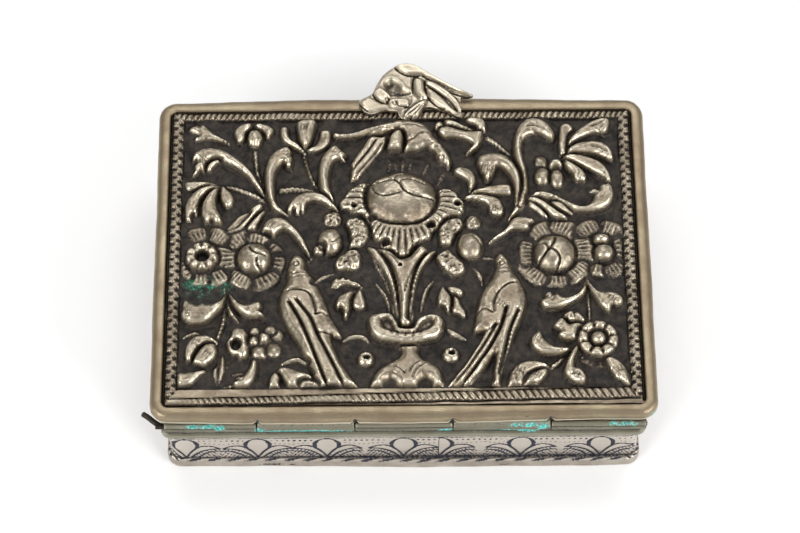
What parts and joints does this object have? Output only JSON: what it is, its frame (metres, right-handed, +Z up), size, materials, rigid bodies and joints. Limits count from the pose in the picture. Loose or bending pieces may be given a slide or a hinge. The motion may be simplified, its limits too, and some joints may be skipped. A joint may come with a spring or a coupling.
{
  "type": "hinged tobacco case",
  "caption": "Flat rectangular hinged tobacco case of aged silver, its lid embossed with a vase, flowers and birds, with a bird-shaped thumb piece.",
  "frame": {"origin": "middle of the base's underside", "axes": "+Z up through the lid, -Y towards the hinge side, +X along the hinge to the right seen from the hinge side"},
  "size_m": [0.093, 0.0736, 0.027],
  "materials": {
    "aged_silver": "worn aged silver, polished on the raised parts and dark in the hollows",
    "embossed_silver": "embossed aged silver, blackened ground",
    "engraved_silver": "pale silver strip engraved with blackened lines",
    "hidden_silver": "plain silver sheet, dull inside",
    "dark_wire": "blackened wire"
  },
  "bodies": {
    "box": {"base_plate": "hidden_silver", "foot_band": "aged_silver", "body_wall": "engraved_silver", "body_rim": "aged_silver", "inner_bezel": "hidden_silver", "body_knuckle_left": "aged_silver", "body_knuckle_middle": "aged_silver", "body_knuckle_right": "aged_silver", "hinge_pin": "dark_wire"},
    "lid": {"lid_frame": "aged_silver", "lid_lining": "hidden_silver", "embossed_sheet": "embossed_silver", "thumb_piece": "embossed_silver", "lid_knuckle_left": "aged_silver", "lid_knuckle_right": "aged_silver"}
  },
  "joints": [
    {"name": "lid_hinge", "type": "hinge", "parent": "box", "child": "lid", "pos_m": [0, -0.0328, 0.02035], "axis": [1, 0, 0], "range_deg": [0, 180]}
  ]
}
